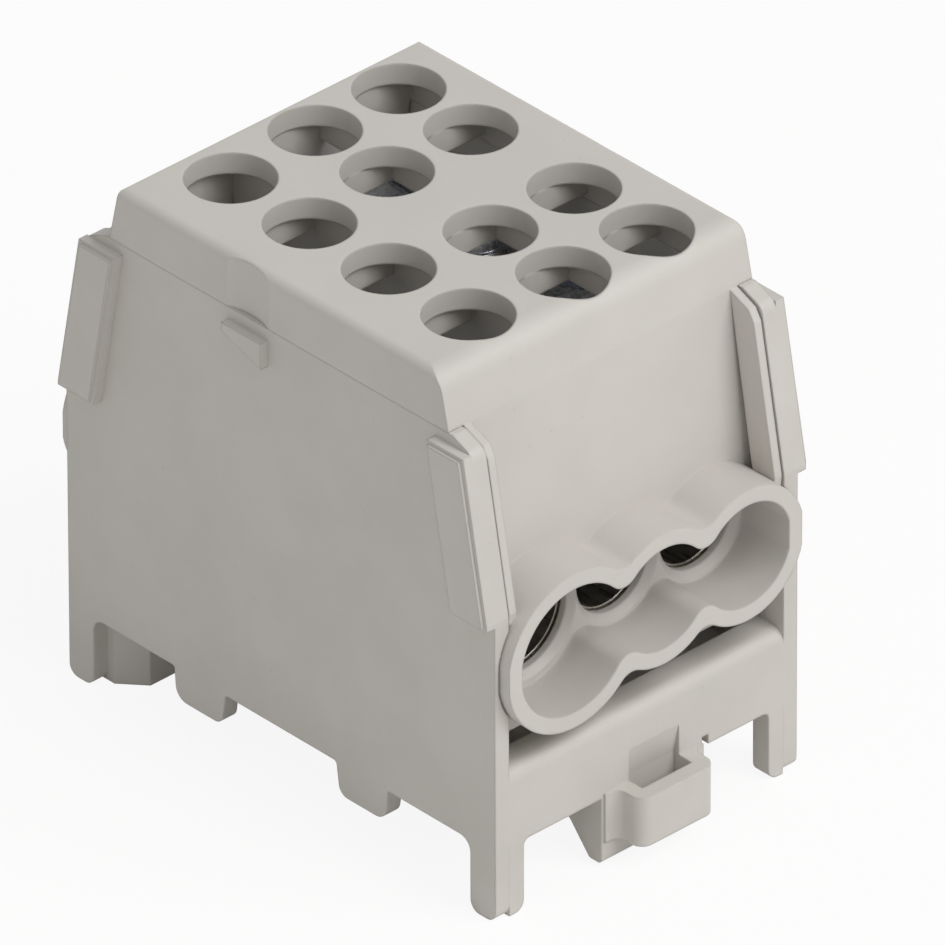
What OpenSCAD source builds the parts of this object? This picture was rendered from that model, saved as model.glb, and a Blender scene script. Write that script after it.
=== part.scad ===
// Power distribution block for a 35 mm mounting rail: a moulded base and a
// moulded cover round one plated terminal block with three through bores and
// twelve clamping screws. X runs across the block, Y along the conductors and
// Z up from the feet. The origin is under the middle, at foot level.

/* [Base] */
// Width over the side walls
body_w = 33; // [32.8:0.1:36]
// Length over the end panels
body_l = 50; // [50:0.5:54]
// Height of the joint line between base and cover
seam_z = 43.8; // [43:0.1:46]
// Thickness of the side walls
wall_t = 1.5; // [1.2:0.1:1.6]
// Thickness of the end panels
panel_t = 1.8; // [1.4:0.1:2.2]
// Height of the top edge of the end panels
panel_z = 13.7; // [13:0.1:14.5]
// Height at which the end edges of the side walls start to lean
lean_z = 28.4; // [26:0.2:31]
// Thickness of the floor under the terminal block
floor_t = 1.8; // [1.4:0.1:2.4]
// How far the key bars stand out from the side wall
bar_out = 1.2; // [0.8:0.1:1.6]

/* [Rail foot] */
// Depth of the recess that takes the mounting rail
leg_h = 6.6; // [6:0.1:7.4]
// Length of each foot along the block
leg_l = 2.9; // [2.4:0.1:3.2]
// Width of each foot across the block
leg_w = 3.1; // [2.5:0.1:3.6]
// Width of the mounting rail over its lips
rail_w = 35; // [34.6:0.1:35.2]
// Thickness of the lips of the mounting rail
lip_t = 1; // [0.8:0.1:1.3]
// Distance over the two centring tabs inside the rail channel
tab_span = 25; // [24:0.2:25.6]
// Length of each centring tab
tab_l = 6; // [5:0.2:7]
// How far the centring tabs reach below the recess
tab_h = 3; // [2:0.1:4]
// Width of the sprung latch that grips the front lip of the rail
latch_w = 9.9; // [9:0.1:11]
// Width of the fixed hook under the rear lip of the rail
hook_w = 24; // [18:1:25]
// Clearance between the hooks and the lips of the rail
rail_gap = 0.1; // [0.05:0.05:0.3]

/* [Release loop] */
// Width of the screwdriver slot
slot_w = 5.4; // [4.5:0.1:6]
// Depth of the screwdriver slot
slot_l = 1.5; // [1.2:0.1:2]
// Thickness of the loop round the slot
loop_t = 1.4; // [1.1:0.1:1.8]
// Height of the loop
loop_h = 4.6; // [4:0.1:5.2]

/* [Cover] */
// Rise of the cover above the joint line
cover_rise = 5; // [4.6:0.1:6.5]
// Length of the flat top of the cover
top_l = 37.2; // [36.8:0.1:38]
// Length of the cover at the joint line
seam_l = 39.4; // [39.2:0.1:40]
// Thickness of the top plate
plate_t = 2; // [1.6:0.1:2.4]
// Thickness of the end walls
end_t = 1.4; // [1.2:0.1:1.6]
// Thickness of the ribs between the screw shafts
rib_t = 0.9; // [0.7:0.1:1.2]
// Depth of the short ribs below the top face
rib_depth = 4.3; // [3.4:0.1:5.5]
// Diameter of the screw access holes
access_d = 7.6; // [7.2:0.1:7.8]
// Gap between the cover and the walls that it sits between
fit_gap = 0.15; // [0.1:0.05:0.3]

/* [Conductor entries] */
// Height of the axes of the two smaller bores
bore_z = 23.5; // [23:0.1:24.5]
// Place of the large bore across the block
main_x = -8.8; // [-9:0.1:-8.6]
// Distance from the large bore to the middle bore
main_pitch = 9.7; // [9.6:0.1:9.9]
// Distance from the middle bore to the outer bore
branch_pitch = 9.1; // [9:0.1:9.3]
// Inner radius of the collar round the large bore
main_lobe_r = 5.85; // [5.6:0.05:6]
// Inner radius of the collar round a smaller bore
branch_lobe_r = 4.75; // [4.6:0.05:4.9]
// Wall of the collars
collar_t = 1.4; // [1.1:0.1:1.6]
// How far the collars stand out past the end panels
collar_out = 1.1; // [0.6:0.1:2]

/* [Terminal block] */
// Diameter of the large bore
main_bore_d = 9; // [8:0.1:9.2]
// Diameter of the two smaller bores
branch_bore_d = 7.4; // [6.8:0.1:7.6]
// Length of the terminal block
block_l = 38.4; // [37:0.2:38.6]
// Metal left beside the outer bores
block_side = 0.9; // [0.7:0.1:1.1]
// Metal left under the bores
block_under = 1.5; // [1.2:0.1:2]
// Height of the top face of the terminal block
block_top = 34.5; // [33:0.1:35]

/* [Screws] */
// Diameter of the clamping screws
screw_d = 6.9; // [6.4:0.1:7]
// Length of the clamping screws
screw_l = 12; // [10:0.5:13]
// Width of the slots for the screwdriver
drive_w = 1.1; // [0.8:0.1:1.4]
// Depth of the slots for the screwdriver
drive_deep = 2.2; // [1.6:0.1:3]
// Radial clearance of the screws in their threaded holes
thread_gap = 0.05; // [0.03:0.01:0.08]
// Pitch of the four screws over the large bore
main_screw_pitch = 9.2; // [9:0.05:9.3]
// Pitch inside each pair of screws over a smaller bore
pair_pitch = 8.4; // [8:0.1:8.6]
// Distance between the middles of the two pairs
pair_gap = 20.4; // [20:0.1:20.4]

/* [Hidden] */
$fn = 64;
eps = 0.01;
shell_grey = [0.80, 0.79, 0.76];
tin = [0.78, 0.79, 0.80];
zinc = [0.70, 0.71, 0.73];

half_w = body_w / 2;
half_l = body_l / 2;
in_w = half_w - wall_t;
loop_out = slot_l + loop_t;
// The frame's origin is under the middle of the whole length.
centre_y = (loop_out - collar_out) / 2;
top_z = seam_z + cover_rise;
floor_z = leg_h + 1.6;

row_x = [main_x, main_x + main_pitch, main_x + main_pitch + branch_pitch];
lobe_r = [main_lobe_r, branch_lobe_r, branch_lobe_r];
bore_r = [main_bore_d, branch_bore_d, branch_bore_d] / 2;
lobe_drop = (main_lobe_r - branch_lobe_r) / 2;
row_z = [bore_z - lobe_drop, bore_z, bore_z];
main_y = [for (i = [-1.5:1:1.5]) i * main_screw_pitch];
pair_y = [for (s = [-1, 1]) for (t = [-1, 1]) s * pair_gap / 2 + t * pair_pitch / 2];
row_y = [main_y, pair_y, pair_y];

// A leaning end face: its distance from the middle at height z.
face_z = 29.3;
face_y = 21.2;
function lean(z) = seam_l / 2 + (face_y - seam_l / 2) * (seam_z - z) / (seam_z - face_z);

// Points of a closed outline whose corners [x, y, radius] are rounded by arcs.
function unit(v) = v / norm(v);
function arc(c, a, b, sweep, n) =
    [for (i = [0:n]) c + (a * sin((1 - i / n) * sweep) + b * sin(i / n * sweep)) / sin(sweep)];
function corner(before, p, after, r, n) =
    let (a = unit(before - p), b = unit(after - p), half = acos(a * b) / 2,
        c = p + unit(a + b) * r / sin(half), run = r / tan(half))
    r == 0 ? [p] : arc(c, p + a * run - c, p + b * run - c, 180 - 2 * half, n);
function xy(p) = [p[0], p[1]];
function rounded(pts, n = 6) =
    let (m = len(pts))
    [for (i = [0:m - 1])
        each corner(xy(pts[(i + m - 1) % m]), xy(pts[i]), xy(pts[(i + 1) % m]), pts[i][2], n)];

// Extrudes a [y, z] outline across the block between two X values.
module across(x0, x1) {
    translate([x0, 0, 0]) rotate([90, 0, 90]) linear_extrude(x1 - x0) children();
}

// Extrudes an [x, z] outline along the block between two Y values.
module along(y0, y1) {
    translate([0, y1, 0]) rotate([90, 0, 0]) linear_extrude(y1 - y0) children();
}

module box(x0, x1, y0, y1, z0, z1) {
    translate([x0, y0, z0]) cube([x1 - x0, y1 - y0, z1 - z0]);
}

// ---------------------------------------------------------------- base

tab_in = tab_span / 2 - tab_l;
wall_top_y = half_l - 2.65;
shoulder_z = seam_z - 0.9;
foot_r = 1;
recess_r = 1.2;

// Half of the side wall's outline, from the middle to the end, y > 0.
function wall_half() = [
    [0, leg_h, 0], [tab_in, leg_h, 0.4], [tab_in + 0.4, leg_h - tab_h, 1],
    [tab_span / 2 - 0.2, leg_h - tab_h, 1.3], [tab_span / 2, leg_h, 0.3],
    [half_l - leg_l, leg_h, recess_r], [half_l - leg_l, 0, foot_r],
    [half_l, 0, foot_r], [half_l, lean_z, 1], [wall_top_y, shoulder_z, 1.2],
    [seam_l / 2 + 0.5, seam_z, 0.4], [0, seam_z, 0]];

module wall_outline() {
    for (s = [-1, 1]) scale([s, 1]) polygon(rounded(wall_half()));
}

// The key bars follow the leaning end edges of the wall.
bar_l = 4.2;
bar_foot = lean_z - 0.5;
bar_edge = 0.3;
function bar_outline(inset) = [
    [half_l - bar_l + inset, bar_foot + inset], [half_l - inset, bar_foot + inset],
    [half_l - inset, lean_z], [wall_top_y - inset, shoulder_z - inset],
    [wall_top_y - bar_l + inset, shoulder_z - inset]];

module key_bar() {
    across(-half_w - bar_out + bar_edge, -half_w + eps) polygon(bar_outline(0));
    across(-half_w - bar_out, -half_w) polygon(bar_outline(bar_edge));
}

// A wedge that the neighbour's cover slides over.
lug_y = 3.5;
lug_l = 4.6;
lug_out = 0.8;
lug_z = seam_z - 1.1;
module wedge_lug() {
    across(-half_w - lug_out, -half_w + eps)
        polygon([[lug_y - lug_l / 2, lug_z - 2.4], [lug_y + lug_l / 2, lug_z - 0.8],
            [lug_y + lug_l / 2, lug_z], [lug_y - lug_l / 2, lug_z]]);
}

// The end panel with its shelf, and the part of the feet that stands across.
shelf_l = 3.2;
shelf_t = 1.7;
module end_panel() {
    across(-in_w - eps, in_w + eps)
        polygon(rounded([[-half_l, leg_h, 0], [panel_t - half_l, leg_h, 0],
            [panel_t - half_l, panel_z - shelf_t, 0.6], [shelf_l - half_l, panel_z - shelf_t, 0],
            [shelf_l - half_l, panel_z, 0.3], [-half_l, panel_z, 1.2]]));
    along(-half_l, panel_t - half_l)
        for (s = [-1, 1]) scale([s, 1])
            polygon(rounded([[in_w - eps, leg_h + 2, 0], [in_w - eps, 0, 0],
                [half_w - leg_w, 0, foot_r], [half_w - leg_w, leg_h, 0.6],
                [half_w - leg_w - 2, leg_h, 0], [half_w - leg_w - 2, leg_h + 2, 0]]));
}

// The sprung latch in the front panel, which grips one lip of the rail.
hook_low = 0.4;
hook_reach = rail_w / 2 - 1.2;
hook_top = leg_h - lip_t - rail_gap;
lip_y = rail_w / 2 + 0.4;
module latch() {
    across(-latch_w / 2, latch_w / 2)
        polygon(rounded([[-half_l, hook_low, 0.4], [1.4 - half_l, hook_low, 0.4],
            [-lip_y - 3.4, hook_top - 2.4, 0.6], [-hook_reach, hook_top - 0.9, 0.3],
            [-hook_reach, hook_top, 0.2], [-lip_y, hook_top, 0.3],
            [-lip_y, leg_h, 0], [-lip_y, floor_z + eps, 0], [-half_l, floor_z + eps, 0]]));
}

// The rear foot: a cross wall between the legs that carries the fixed hook.
foot_y = half_l - 5.9;
foot_t = 1.5;
foot_x = half_w - 3.4;
module rear_foot() {
    linear_extrude(floor_z + eps)
        polygon([[-foot_x, foot_y], [foot_x, foot_y], [in_w + eps, foot_y + 2.2], [in_w + eps, foot_y + 4.3],
            [foot_x - 0.6, foot_y + foot_t], [0.6 - foot_x, foot_y + foot_t],
            [-in_w - eps, foot_y + 4.3], [-in_w - eps, foot_y + 2.2]]);
    across(-hook_w / 2, hook_w / 2)
        polygon(rounded([[foot_y + eps, hook_top - 3, 0], [foot_y + eps, hook_top, 0],
            [hook_reach, hook_top, 0.2], [hook_reach, hook_top - 0.9, 0.3],
            [foot_y - 1, hook_top - 2.8, 0.6]]));
}

// The loop in front of the latch, for the tip of a screwdriver.
loop_low = leg_h + 0.4 - loop_h;
loop_x = 0.8;
module release_loop() {
    w = slot_w / 2 + loop_t;
    translate([loop_x, -half_l, loop_low]) linear_extrude(loop_h) difference() {
        polygon(rounded([[-w - 1.4, eps, 0], [-w - 1.4, -0.2, 0], [-w, -0.3, 0.8], [-w, -loop_out, 1.1],
            [w, -loop_out, 1.1], [w, -0.3, 0.8], [w + 1.4, -0.2, 0], [w + 1.4, eps, 0]]));
        translate([-slot_w / 2, -slot_l]) square([slot_w, slot_l + 1]);
    }
}

// A ramp cut into the panel that leads the tip into the slot.
module slot_ramp() {
    across(loop_x - slot_w / 2, loop_x + slot_w / 2)
        polygon([[-half_l - 1, loop_low - 1], [0.5 - half_l, loop_low - 1],
            [0.5 - half_l, leg_h + 0.6], [-half_l - eps, leg_h + 3.4], [-half_l - 1, leg_h + 3.4]]);
}

// A small relief in the panel's lower edge beside the latch.
module relief_notch() {
    box(latch_w / 2 + 1.1, latch_w / 2 + 1.8, -half_l - 1, panel_t - half_l + 1, leg_h - 1, leg_h + 0.9);
}

// Cross ribs that carry the terminal block, and the floor between the walls.
seat_y = 11.5;
seat_t = 2;
web_x = 9;
block_low = row_z[0] - bore_r[0] - block_under;
module floor_and_seats() {
    box(-in_w - eps, in_w + eps, shelf_l - half_l, half_l - shelf_l, floor_z, floor_z + floor_t);
    for (s = [-1, 1]) {
        box(-in_w - eps, in_w + eps, s * seat_y - seat_t / 2, s * seat_y + seat_t / 2,
            floor_z + floor_t - eps, block_low);
        box(-in_w - eps, in_w + eps, s * (half_l - shelf_l) - 0.8, s * (half_l - shelf_l) + 0.8,
            floor_z, panel_z - shelf_t + eps);
    }
    // Webs under the floor that rest on the rail
    for (x = [-web_x, web_x])
        box(x - 0.8, x + 0.8, -lip_y, foot_y + eps, leg_h, floor_z + eps);
}

module base() color(shell_grey) {
    translate([0, centre_y, 0]) difference() {
        union() {
            for (x = [-half_w, in_w]) across(x, x + wall_t) wall_outline();
            end_panel();
            rotate(180) end_panel();
            latch();
            rear_foot();
            release_loop();
            floor_and_seats();
            for (a = [0, 180], m = [0, 1]) rotate(a) mirror([0, m, 0]) key_bar();
            wedge_lug();
            rotate(180) wedge_lug();
        }
        slot_ramp();
        relief_notch();
        for (s = [-1, 1]) scale([1, s, 1])
            along(-collar_end, -block_l / 2 - 0.2 + fit_gap) lobes(collar_t + fit_gap);
    }
}

// --------------------------------------------------------------- cover

skirt_w = in_w - fit_gap;
skirt_low = panel_z + 1.8;
wall_plane = half_l - 4.4;
collar_end = half_l + collar_out;
edge_r = 0.8;
front_r = 2.2;
rear_r = 0.4;

// The shaped block above the joint line, with rounded edges.
module crown() {
    intersection() {
        across(-half_w, half_w)
            polygon(rounded([[-seam_l / 2, seam_z, 0], [-top_l / 2, top_z, front_r],
                [top_l / 2, top_z, rear_r], [seam_l / 2, seam_z, 0]], 10));
        along(-half_l, half_l)
            polygon(rounded([[-half_w, seam_z, 0], [-half_w, top_z, edge_r],
                [half_w, top_z, edge_r], [half_w, seam_z, 0]]));
    }
}

// The leaning end wall below the joint line, for the end at -Y.
module end_wall() {
    across(-skirt_w, skirt_w)
        polygon([[-lean(skirt_low), skirt_low], [end_t - lean(skirt_low), skirt_low],
            [end_t - lean(seam_z), seam_z + eps], [-lean(seam_z), seam_z + eps]]);
}

// Lips beside the end wall that close the gap to the base's side walls.
lip_w = 0.8;
module end_lips() {
    for (s = [-1, 1]) scale([s, 1, 1])
        across(skirt_w - lip_w, skirt_w)
            polygon([[-lean(skirt_low) + eps, lean_z - 2], [-half_l + 0.2, lean_z - 1],
                [-half_l + 0.1, lean_z], [-wall_top_y - 0.1, shoulder_z - 1],
                [-wall_top_y + 0.5, shoulder_z], [-lean(seam_z) + eps, seam_z]]);
}

// The three-lobed outline: circles joined by tangent arcs in the valleys.
valley_r = 1.6;
flat_x = half_w - 0.55;
module lobes(grow) {
    r = [for (v = lobe_r) v + grow];
    w = flat_x - collar_t + grow;
    intersection() {
        union() {
            for (i = [0:2]) translate([row_x[i], row_z[i]]) circle(r[i]);
            for (i = [0, 1], s = [-1, 1])
                valley([row_x[i], row_z[i]], r[i], [row_x[i + 1], row_z[i + 1]], r[i + 1], s);
        }
        translate([-w, 0]) square([2 * w, top_z]);
    }
}

// Fills the notch between two circles up to an arc that is tangent to both.
module valley(a, ra, b, rb, side) {
    d = norm(b - a);
    u = (b - a) / d;
    v = [-u[1], u[0]] * side;
    la = ra + valley_r;
    lb = rb + valley_r;
    s = (d * d + la * la - lb * lb) / (2 * d);
    h = sqrt(la * la - s * s);
    c = a + u * s + v * h;
    difference() {
        polygon([a, a + unit(c - a) * ra, c, b + unit(c - b) * rb, b]);
        translate(c) circle(valley_r);
    }
}

module collar() {
    along(-collar_end, -wall_plane) difference() {
        lobes(collar_t);
        lobes(0);
    }
    along(-wall_plane - eps, -block_l / 2 - 0.2) lobes(collar_t);
}

entry_gap = 0.2;
entry_chamfer = 0.6;
module entry_holes() {
    for (i = [0:2]) {
        translate([row_x[i], -block_l / 2, row_z[i]]) rotate([90, 0, 0])
            cylinder(r = bore_r[i] + entry_gap, h = 10);
        translate([row_x[i], -wall_plane + entry_chamfer, row_z[i]]) rotate([90, 0, 0])
            cylinder(r1 = bore_r[i] + entry_gap, r2 = bore_r[i] + entry_gap + entry_chamfer,
                h = entry_chamfer + eps);
    }
}

module end_of_cover() {
    difference() {
        union() {
            end_wall();
            collar();
        }
        along(-collar_end - 1, -wall_plane) lobes(0);
        entry_holes();
    }
    end_lips();
}

// Walls of the screw shafts under the top plate.
divider_x = (row_x[0] + row_x[1]) / 2;
branch_rib_x = (row_x[1] + row_x[2]) / 2;
shaft_half = pair_pitch / 2;
module shaft_ribs() {
    rib_z = top_z - rib_depth;
    y_end = seam_l / 2 - end_t;
    box(divider_x - rib_t / 2, divider_x + rib_t / 2, -y_end, y_end, block_top + 0.3, top_z - plate_t + eps);
    box(branch_rib_x - rib_t / 2, branch_rib_x + rib_t / 2, -y_end, y_end, rib_z, top_z - plate_t + eps);
    for (y = [-main_screw_pitch, 0, main_screw_pitch])
        box(-half_w + wall_t - eps, divider_x, y - rib_t / 2, y + rib_t / 2, rib_z, top_z - plate_t + eps);
    for (s = [-1, 1], t = [-1, 1])
        box(divider_x, half_w - wall_t + eps,
            s * (pair_gap / 2 + (t - 1) / 2 * (shaft_half + pair_pitch / 2)) - rib_t / 2,
            s * (pair_gap / 2 + (t - 1) / 2 * (shaft_half + pair_pitch / 2)) + rib_t / 2,
            rib_z, top_z - plate_t + eps);
}

// Finger scoops in the long edges of the crown.
scoop_r = 7.5;
scoop_deep = 0.4;
module scoop() {
    translate([-half_w + scoop_deep - scoop_r, lug_y, seam_z - 1])
        cylinder(r = scoop_r, h = cover_rise + 2, $fn = 128);
}

module cover() color(shell_grey) translate([0, centre_y, 0]) {
    difference() {
        union() {
            difference() {
                crown();
                box(-in_w, in_w, end_t - seam_l / 2, seam_l / 2 - end_t, seam_z - 1, top_z - plate_t);
            }
            shaft_ribs();
        }
        for (i = [0:2], y = row_y[i])
            translate([row_x[i], y, top_z - plate_t - eps]) cylinder(d = access_d, h = plate_t + 1);
        scoop();
        rotate(180) scoop();
    }
    end_of_cover();
    mirror([0, 1, 0]) end_of_cover();
}

// ------------------------------------------------------- terminal block

block_x0 = row_x[0] - bore_r[0] - block_side;
block_x1 = row_x[2] + bore_r[2] + block_side;
block_edge = 0.5;
module terminal_block() color(tin) {
    translate([0, centre_y, 0]) difference() {
        along(-block_l / 2, block_l / 2)
            polygon([[block_x0 + block_edge, block_low], [block_x1 - block_edge, block_low],
                [block_x1, block_low + block_edge], [block_x1, block_top - block_edge],
                [block_x1 - block_edge, block_top], [block_x0 + block_edge, block_top],
                [block_x0, block_top - block_edge], [block_x0, block_low + block_edge]]);
        for (i = [0:2]) {
            translate([row_x[i], block_l / 2 + 1, row_z[i]]) rotate([90, 0, 0])
                cylinder(r = bore_r[i], h = block_l + 2);
            for (y = row_y[i])
                translate([row_x[i], y, row_z[i]])
                    cylinder(d = screw_d + 2 * thread_gap, h = block_top - row_z[i] + 1);
        }
    }
}

// --------------------------------------------------------------- screws

// At rest the tips are just clear of the bores.
tip_gap = 0.3;
screw_z = max(row_z[0] + bore_r[0], bore_z + bore_r[1]) + tip_gap;
screw_edge = 0.5;
drive_turn = [[20, 75, 140, 50], [100, 35, 160, 10], [65, 120, 5, 85]];
module clamp_screw(row, place) color(zinc) {
    translate([row_x[row], row_y[row][place] + centre_y, screw_z]) difference() {
        union() {
            cylinder(d1 = screw_d - 2, d2 = screw_d, h = 1);
            translate([0, 0, 1]) cylinder(d = screw_d, h = screw_l - 1 - screw_edge);
            translate([0, 0, screw_l - screw_edge])
                cylinder(d1 = screw_d, d2 = screw_d - 2 * screw_edge, h = screw_edge);
        }
        rotate(drive_turn[row][place])
            box(-screw_d, screw_d, -drive_w / 2, drive_w / 2, screw_l - drive_deep, screw_l + 1);
    }
}

base();
cover();
terminal_block();
clamp_screw(0, 0);  // main_screw_1
clamp_screw(0, 1);  // main_screw_2
clamp_screw(0, 2);  // main_screw_3
clamp_screw(0, 3);  // main_screw_4
clamp_screw(1, 0);  // middle_screw_1
clamp_screw(1, 1);  // middle_screw_2
clamp_screw(1, 2);  // middle_screw_3
clamp_screw(1, 3);  // middle_screw_4
clamp_screw(2, 0);  // outer_screw_1
clamp_screw(2, 1);  // outer_screw_2
clamp_screw(2, 2);  // outer_screw_3
clamp_screw(2, 3);  // outer_screw_4
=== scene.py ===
import math

import bpy
from mathutils import Matrix, Vector


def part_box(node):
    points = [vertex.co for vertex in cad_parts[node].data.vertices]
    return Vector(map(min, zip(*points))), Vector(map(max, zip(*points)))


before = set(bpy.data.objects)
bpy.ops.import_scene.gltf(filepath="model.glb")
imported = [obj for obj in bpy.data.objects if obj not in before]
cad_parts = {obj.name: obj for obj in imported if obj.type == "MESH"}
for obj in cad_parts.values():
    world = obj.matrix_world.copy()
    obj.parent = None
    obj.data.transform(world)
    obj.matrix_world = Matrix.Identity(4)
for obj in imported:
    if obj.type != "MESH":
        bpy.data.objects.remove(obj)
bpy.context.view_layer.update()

bl_info = {
    "name": "Power distribution block",
    "version": (1, 0, 0),
    "blender": (4, 5, 0),
    "location": "View3D > Sidebar > Block",
    "description": "Finishes the moulded housing, the plated terminal block and its clamping screws",
    "category": "Object",
}

MM = 0.001
BASE_LOW, BASE_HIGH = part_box("base")
BLOCK_LOW, BLOCK_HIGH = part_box("terminal_block")
SCREWS = sorted(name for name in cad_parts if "_screw_" in name)
SCREW_ROWS = ("main", "middle", "outer")


# ------------------------------------------------------------------ colours and nodes


def linear(hex_colour):
    """Turns a sRGB hex colour into the linear RGBA that shaders read."""
    parts = [int(hex_colour[i : i + 2], 16) / 255 for i in (1, 3, 5)]
    return [c / 12.92 if c <= 0.04045 else ((c + 0.055) / 1.055) ** 2.4 for c in parts] + [1.0]


def add_node(tree, kind, inputs=None, **settings):
    """Adds one node, sets its properties, and fills or links its inputs."""
    made = tree.nodes.new(kind)
    for name, value in settings.items():
        setattr(made, name, value)
    for name, value in (inputs or {}).items():
        if isinstance(value, bpy.types.NodeSocket):
            tree.links.new(value, made.inputs[name])
        else:
            made.inputs[name].default_value = value
    return made


def empty_material(name):
    """A material with no nodes yet."""
    material = bpy.data.materials.new(name)
    material.use_nodes = True
    material.node_tree.nodes.clear()
    return material


def per_metre(size_mm):
    """The texture scale at which a pattern's features are size_mm apart."""
    return 1.0 / (size_mm * MM)


# ------------------------------------------------------------------ materials


def moulded_polyamide(name, looks, shade, seed):
    """Light grey polyamide from a spark-eroded mould: a fine dull grain, faint clouding where
    the melt flowed, and edges that the mould leaves slightly round."""
    material = empty_material(name)
    tree = material.node_tree
    place = add_node(tree, "ShaderNodeTexCoord").outputs["Object"]
    shifted = add_node(tree, "ShaderNodeMapping", {"Vector": place, "Location": (seed, 0.3 * seed, 0.0)})
    shifted = shifted.outputs["Vector"]
    # Flow clouding, a few millimetres across
    cloud = add_node(
        tree,
        "ShaderNodeTexNoise",
        {"Vector": shifted, "Scale": per_metre(9.0), "Detail": 3.0, "Roughness": 0.55},
    )
    # Spark-eroded grain; the real one is about 0.05 mm, drawn at 0.3 mm so that it shows
    grain = add_node(
        tree,
        "ShaderNodeTexNoise",
        {"Vector": shifted, "Scale": per_metre(0.3), "Detail": 2.0, "Roughness": 0.6},
    )
    # Rare dark specks in the granulate
    speck = add_node(
        tree, "ShaderNodeTexVoronoi", {"Vector": shifted, "Scale": per_metre(2.6)}, feature="F1"
    )
    speck_mask = add_node(
        tree,
        "ShaderNodeMapRange",
        {"Value": speck.outputs["Distance"], "From Min": 0.02, "From Max": 0.05, "To Min": 0.35, "To Max": 0.0},
    )
    tone = add_node(tree, "ShaderNodeValToRGB", {"Fac": cloud.outputs["Fac"]})
    tone.color_ramp.elements[0].position = 0.35
    tone.color_ramp.elements[0].color = linear(shade)
    tone.color_ramp.elements[1].position = 0.62
    tone.color_ramp.elements[1].color = list(looks.plastic_colour) + [1.0]
    speckled = add_node(
        tree,
        "ShaderNodeMix",
        {0: speck_mask.outputs["Result"], 6: tone.outputs["Color"], 7: linear("#A9A69F")},
        data_type="RGBA",
    )
    sheen = add_node(
        tree,
        "ShaderNodeMapRange",
        {
            "Value": cloud.outputs["Fac"],
            "From Min": 0.3,
            "From Max": 0.7,
            "To Min": looks.plastic_roughness - 0.04,
            "To Max": looks.plastic_roughness + 0.05,
        },
    )
    round_edge = add_node(tree, "ShaderNodeBevel", {"Radius": looks.edge_radius}, samples=6)
    bump = add_node(
        tree,
        "ShaderNodeBump",
        {
            "Strength": 0.22,
            "Distance": 0.00003,
            "Height": grain.outputs["Fac"],
            "Normal": round_edge.outputs["Normal"],
        },
    )
    shader = add_node(
        tree,
        "ShaderNodeBsdfPrincipled",
        {
            "Base Color": speckled.outputs[2],
            "Roughness": sheen.outputs["Result"],
            "IOR": 1.53,
            "Normal": bump.outputs["Normal"],
        },
    )
    add_node(tree, "ShaderNodeOutputMaterial", {"Surface": shader.outputs["BSDF"]})
    return material


def tinned_brass(looks):
    """Brass bar with a tin plating: bright, slightly warm, with drawing lines along the bar."""
    material = empty_material("tinned_brass")
    tree = material.node_tree
    place = add_node(tree, "ShaderNodeTexCoord").outputs["Object"]
    # Drawing lines run along the bar, so the pattern is stretched forty times along Y
    along_bar = add_node(tree, "ShaderNodeMapping", {"Vector": place, "Scale": (1.0, 0.025, 1.0)})
    lines = add_node(
        tree,
        "ShaderNodeTexNoise",
        {"Vector": along_bar.outputs["Vector"], "Scale": per_metre(0.35), "Detail": 4.0},
    )
    # Thickness of the tin varies over a few millimetres
    bloom = add_node(
        tree, "ShaderNodeTexNoise", {"Vector": place, "Scale": per_metre(4.0), "Detail": 3.0}
    )
    tone = add_node(tree, "ShaderNodeValToRGB", {"Fac": bloom.outputs["Fac"]})
    tone.color_ramp.elements[0].position = 0.3
    tone.color_ramp.elements[0].color = linear("#B4AFA4")
    tone.color_ramp.elements[1].position = 0.7
    tone.color_ramp.elements[1].color = list(looks.block_colour) + [1.0]
    dull = add_node(
        tree,
        "ShaderNodeMapRange",
        {"Value": lines.outputs["Fac"], "From Min": 0.3, "From Max": 0.7, "To Min": 0.22, "To Max": 0.38},
    )
    round_edge = add_node(tree, "ShaderNodeBevel", {"Radius": 0.15 * MM}, samples=4)
    bump = add_node(
        tree,
        "ShaderNodeBump",
        {
            "Strength": 0.3,
            "Distance": 0.00002,
            "Height": lines.outputs["Fac"],
            "Normal": round_edge.outputs["Normal"],
        },
    )
    shader = add_node(
        tree,
        "ShaderNodeBsdfPrincipled",
        {
            "Base Color": tone.outputs["Color"],
            "Metallic": 1.0,
            "Roughness": dull.outputs["Result"],
            "Normal": bump.outputs["Normal"],
        },
    )
    add_node(tree, "ShaderNodeOutputMaterial", {"Surface": shader.outputs["BSDF"]})
    return material


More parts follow.
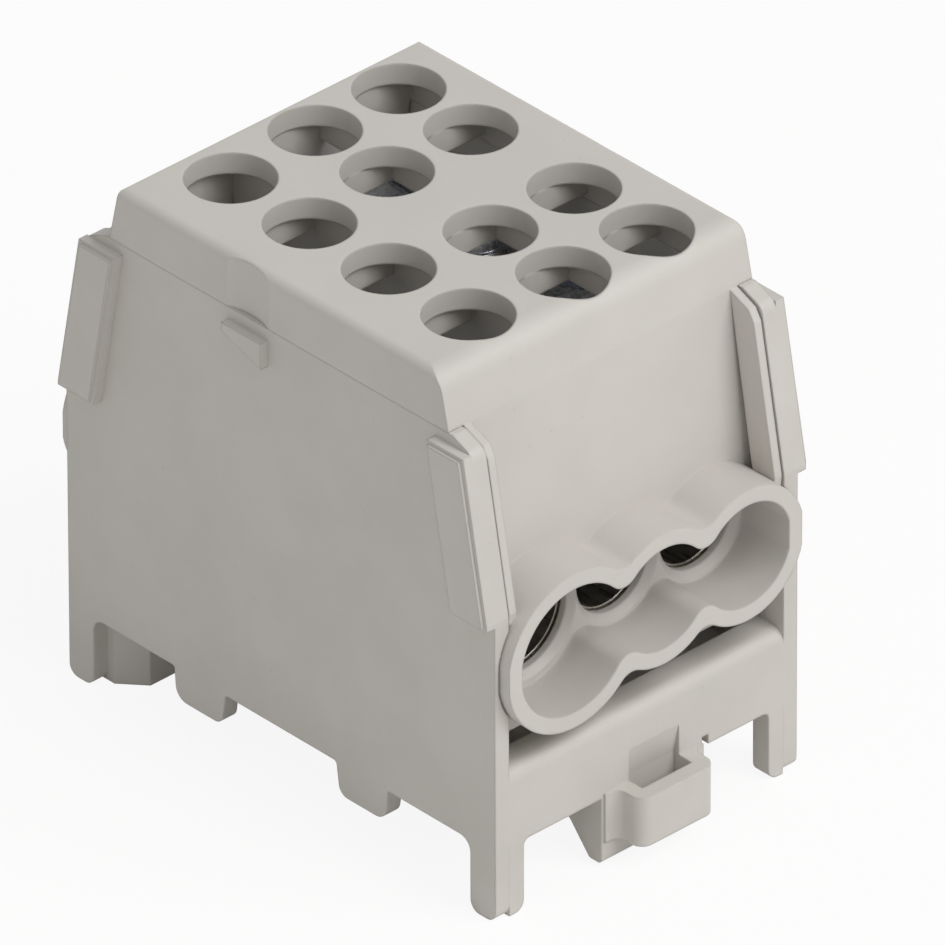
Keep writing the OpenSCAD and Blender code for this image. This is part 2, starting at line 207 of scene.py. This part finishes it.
def zinc_plated_steel(looks):
    """Steel grub screw, rolled thread, bright zinc: thread ridges 1 mm apart, turning marks
    on the flat end, and a faint blue to straw tint from the passivation."""
    material = empty_material("zinc_plated_steel")
    tree = material.node_tree
    place = add_node(tree, "ShaderNodeTexCoord").outputs["Object"]
    # A wave's bands are pi / 10 units apart per unit of scale, for a pitch of 1 mm
    thread = add_node(
        tree,
        "ShaderNodeTexWave",
        {"Vector": place, "Scale": math.pi / 10 / (looks.thread_pitch * 2)},
        wave_type="BANDS",
        bands_direction="Z",
        wave_profile="TRI",
    )
    tint = add_node(
        tree, "ShaderNodeTexNoise", {"Vector": place, "Scale": per_metre(3.0), "Detail": 2.0}
    )
    tone = add_node(tree, "ShaderNodeValToRGB", {"Fac": tint.outputs["Fac"]})
    tone.color_ramp.elements[0].position = 0.3
    tone.color_ramp.elements[0].color = linear("#A8AEB8")
    tone.color_ramp.elements[1].position = 0.7
    tone.color_ramp.elements[1].color = list(looks.screw_colour) + [1.0]
    scuff = add_node(
        tree, "ShaderNodeTexNoise", {"Vector": place, "Scale": per_metre(0.4), "Detail": 3.0}
    )
    dull = add_node(
        tree,
        "ShaderNodeMapRange",
        {"Value": scuff.outputs["Fac"], "From Min": 0.3, "From Max": 0.7, "To Min": 0.2, "To Max": 0.34},
    )
    round_edge = add_node(tree, "ShaderNodeBevel", {"Radius": 0.12 * MM}, samples=4)
    bump = add_node(
        tree,
        "ShaderNodeBump",
        {
            "Strength": 0.9,
            "Distance": 0.0003,
            "Height": thread.outputs["Fac"],
            "Normal": round_edge.outputs["Normal"],
        },
    )
    shader = add_node(
        tree,
        "ShaderNodeBsdfPrincipled",
        {
            "Base Color": tone.outputs["Color"],
            "Metallic": 1.0,
            "Roughness": dull.outputs["Result"],
            "Normal": bump.outputs["Normal"],
        },
    )
    add_node(tree, "ShaderNodeOutputMaterial", {"Surface": shader.outputs["BSDF"]})
    return material


def pale_paper(colour):
    """Matt white paper under the object. Seen directly it is lifted towards white, and it
    keeps the soft shadow."""
    material = empty_material("matt_white_paper")
    tree = material.node_tree
    place = add_node(tree, "ShaderNodeTexCoord").outputs["Object"]
    fibre = add_node(tree, "ShaderNodeTexNoise", {"Vector": place, "Scale": per_metre(1.5), "Detail": 2.0})
    bump = add_node(
        tree, "ShaderNodeBump", {"Strength": 0.05, "Distance": 0.00005, "Height": fibre.outputs["Fac"]}
    )
    paper = add_node(
        tree, "ShaderNodeBsdfDiffuse", {"Color": list(colour) + [1.0], "Normal": bump.outputs["Normal"]}
    )
    white = add_node(tree, "ShaderNodeEmission", {"Color": (1.0, 1.0, 1.0, 1.0), "Strength": 1.0})
    seen = add_node(tree, "ShaderNodeLightPath").outputs["Is Camera Ray"]
    lift = add_node(tree, "ShaderNodeMath", {0: seen, 1: 0.9}, operation="MULTIPLY")
    mixed = add_node(
        tree,
        "ShaderNodeMixShader",
        {0: lift.outputs["Value"], 1: paper.outputs["BSDF"], 2: white.outputs["Emission"]},
    )
    add_node(tree, "ShaderNodeOutputMaterial", {"Surface": mixed.outputs["Shader"]})
    return material


# ------------------------------------------------------------------ helpers


def finish_node(name, material):
    """Gives a frame node its material in every slot."""
    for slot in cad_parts[name].material_slots:
        slot.material = material


def soft_lamp(name, place, aim, size, power):
    """A square softbox at place that faces aim."""
    bpy.ops.object.select_all(action="DESELECT")
    bpy.ops.object.light_add(type="AREA", location=place)
    lamp = bpy.context.object
    lamp.name = name
    lamp.data.shape = "SQUARE"
    lamp.data.size = size
    lamp.data.energy = power
    lamp.rotation_euler = (Vector(aim) - Vector(place)).to_track_quat("-Z", "Y").to_euler()
    return lamp


# ------------------------------------------------------------------ settings


class HousingLooks(bpy.types.PropertyGroup):
    """Finish of the two grey mouldings."""

    plastic_colour: bpy.props.FloatVectorProperty(
        name="Plastic colour",
        description="Colour of the moulded base and cover",
        subtype="COLOR",
        size=3,
        min=0.0,
        max=1.0,
        default=linear("#CFCBC5")[:3],
    )
    plastic_roughness: bpy.props.FloatProperty(
        name="Plastic roughness", description="Dullness of the mouldings", min=0.2, max=0.9, default=0.48
    )
    edge_radius: bpy.props.FloatProperty(
        name="Edge radius",
        description="Rounding that the mould leaves on the edges",
        unit="LENGTH",
        min=0.0,
        max=0.001,
        default=0.28 * MM,
    )


class MetalLooks(bpy.types.PropertyGroup):
    """Finish of the terminal block and its screws."""

    block_colour: bpy.props.FloatVectorProperty(
        name="Terminal block colour",
        description="Colour of the tin plating",
        subtype="COLOR",
        size=3,
        min=0.0,
        max=1.0,
        default=linear("#D6D3CC")[:3],
    )
    screw_colour: bpy.props.FloatVectorProperty(
        name="Screw colour",
        description="Colour of the zinc plating",
        subtype="COLOR",
        size=3,
        min=0.0,
        max=1.0,
        default=linear("#D2D5DA")[:3],
    )
    thread_pitch: bpy.props.FloatProperty(
        name="Thread pitch",
        description="Distance between the ridges of the screw thread",
        unit="LENGTH",
        min=0.0005,
        max=0.002,
        default=1.0 * MM,
    )


class StageLooks(bpy.types.PropertyGroup):
    """Floor, lamps and camera."""

    floor_colour: bpy.props.FloatVectorProperty(
        name="Floor colour",
        description="Colour of the paper under the block",
        subtype="COLOR",
        size=3,
        min=0.0,
        max=1.0,
        default=linear("#F6F5F3")[:3],
    )
    key_power: bpy.props.FloatProperty(
        name="Key lamp", description="Power of the main softbox", unit="POWER", min=0.0, default=7.2
    )
    fill_power: bpy.props.FloatProperty(
        name="Fill lamp", description="Power of the side softbox", unit="POWER", min=0.0, default=0.25
    )
    surround: bpy.props.FloatProperty(
        name="Surround", description="Strength of the light from all round", min=0.0, max=1.0, default=0.42
    )
    azimuth: bpy.props.FloatProperty(
        name="Camera azimuth", description="Turn of the camera round the block", subtype="ANGLE",
        default=math.radians(-43.05),
    )
    elevation: bpy.props.FloatProperty(
        name="Camera elevation", description="Height of the camera above level", subtype="ANGLE",
        default=math.radians(32.89),
    )
    distance: bpy.props.FloatProperty(
        name="Camera distance", description="Distance of the camera", unit="LENGTH", default=2.361
    )
    lens: bpy.props.FloatProperty(
        name="Camera lens", description="Focal length of the camera, in millimetres", default=1127.8
    )


# ------------------------------------------------------------------ operators


class BLOCK_OT_base(bpy.types.Operator):
    """Finishes the moulded base with its legs, latch and key bars"""

    bl_idname = "block.base"
    bl_label = "Base moulding"

    def execute(self, context):
        looks = context.scene.housing_looks
        finish_node("base", moulded_polyamide("moulded_polyamide_base", looks, "#CAC7C0", 0.13))
        return {"FINISHED"}


class BLOCK_OT_cover(bpy.types.Operator):
    """Finishes the moulded cover with its access holes and collars"""

    bl_idname = "block.cover"
    bl_label = "Cover moulding"

    def execute(self, context):
        looks = context.scene.housing_looks
        finish_node("cover", moulded_polyamide("moulded_polyamide_cover", looks, "#CBC7C1", 0.47))
        return {"FINISHED"}


class BLOCK_OT_terminal(bpy.types.Operator):
    """Finishes the tinned brass block that the conductors are clamped in"""

    bl_idname = "block.terminal"
    bl_label = "Terminal block"

    def execute(self, context):
        finish_node("terminal_block", tinned_brass(context.scene.metal_looks))
        return {"FINISHED"}


class BLOCK_OT_screws(bpy.types.Operator):
    """Finishes the clamping screws, four over each bore"""

    bl_idname = "block.screws"
    bl_label = "Clamping screws"

    def execute(self, context):
        material = zinc_plated_steel(context.scene.metal_looks)
        for row in SCREW_ROWS:
            for name in SCREWS:
                if name.startswith(row):
                    finish_node(name, material)
        return {"FINISHED"}


class BLOCK_OT_stage(bpy.types.Operator):
    """Lays the paper floor, hangs the softboxes and sets the camera"""

    bl_idname = "block.stage"
    bl_label = "Stage"

    def execute(self, context):
        looks = context.scene.stage_looks
        bpy.ops.object.select_all(action="DESELECT")
        bpy.ops.mesh.primitive_plane_add(size=8.0, location=(0.0, 0.0, 0.0))
        floor = context.object
        floor.name = "paper_floor"
        floor.data.materials.append(pale_paper(looks.floor_colour))

        middle = (Vector(BASE_LOW) + Vector(BASE_HIGH)) / 2
        soft_lamp("key_softbox", (0.22, -0.72, 0.86), middle, 0.7, looks.key_power)
        soft_lamp("fill_softbox", (-0.95, -0.1, 0.35), middle, 0.6, looks.fill_power)

        world = bpy.data.worlds.new("studio")
        context.scene.world = world
        world.use_nodes = True
        tree = world.node_tree
        tree.nodes.clear()
        light = add_node(
            tree, "ShaderNodeBackground", {"Color": (1.0, 1.0, 1.0, 1.0), "Strength": looks.surround}
        )
        white = add_node(tree, "ShaderNodeBackground", {"Color": (1.0, 1.0, 1.0, 1.0), "Strength": 1.0})
        path = add_node(tree, "ShaderNodeLightPath")
        seen = add_node(
            tree, "ShaderNodeMath", {0: path.outputs["Is Camera Ray"], 1: path.outputs["Is Glossy Ray"]},
            operation="MAXIMUM",
        )
        mixed = add_node(
            tree,
            "ShaderNodeMixShader",
            {0: seen.outputs["Value"], 1: light.outputs["Background"], 2: white.outputs["Background"]},
        )
        add_node(tree, "ShaderNodeOutputWorld", {"Surface": mixed.outputs["Shader"]})

        a, e = looks.azimuth, looks.elevation
        roll = math.radians(-0.16)
        back = Vector((math.sin(a) * math.cos(e), -math.cos(a) * math.cos(e), math.sin(e)))
        right = Vector((math.cos(a), math.sin(a), 0.0))
        up = right.cross(-back)
        across = math.cos(roll) * right + math.sin(roll) * up
        above = -math.sin(roll) * right + math.cos(roll) * up
        aim = Vector((0.0, 0.9 * MM, 22.0 * MM)) + 3.28 * MM * across + 1.30 * MM * above
        place = Matrix((across, above, back)).transposed().to_4x4()
        place.translation = aim + looks.distance * back
        bpy.ops.object.camera_add()
        camera = context.object
        camera.name = "camera"
        camera.data.sensor_width = 36.0
        camera.data.lens = looks.lens
        camera.matrix_world = place
        context.scene.camera = camera
        context.scene.view_settings.view_transform = "Standard"
        return {"FINISHED"}


class BLOCK_PT_panel(bpy.types.Panel):
    """Lists the pieces of the distribution block and their finishes"""

    bl_idname = "BLOCK_PT_panel"
    bl_label = "Power distribution block"
    bl_space_type = "VIEW_3D"
    bl_region_type = "UI"
    bl_category = "Block"

    def draw(self, context):
        for operator in OPERATORS:
            self.layout.operator(operator.bl_idname)
        for name in LOOKS:
            box = self.layout.box()
            group = getattr(context.scene, name)
            for prop in group.__annotations__:
                box.prop(group, prop)


# ------------------------------------------------------------------ registration

OPERATORS = (BLOCK_OT_base, BLOCK_OT_cover, BLOCK_OT_terminal, BLOCK_OT_screws, BLOCK_OT_stage)
LOOKS = {"housing_looks": HousingLooks, "metal_looks": MetalLooks, "stage_looks": StageLooks}
CLASSES = (*LOOKS.values(), *OPERATORS, BLOCK_PT_panel)


def register():
    for cls in CLASSES:
        bpy.utils.register_class(cls)
    for name, group in LOOKS.items():
        setattr(bpy.types.Scene, name, bpy.props.PointerProperty(type=group))


def unregister():
    for name in LOOKS:
        delattr(bpy.types.Scene, name)
    for cls in reversed(CLASSES):
        bpy.utils.unregister_class(cls)


def main():
    """Finishes every piece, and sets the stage."""
    register()
    for operator in OPERATORS:
        family, name = operator.bl_idname.split(".")
        getattr(getattr(bpy.ops, family), name)()


if __name__ == "__main__":
    main()
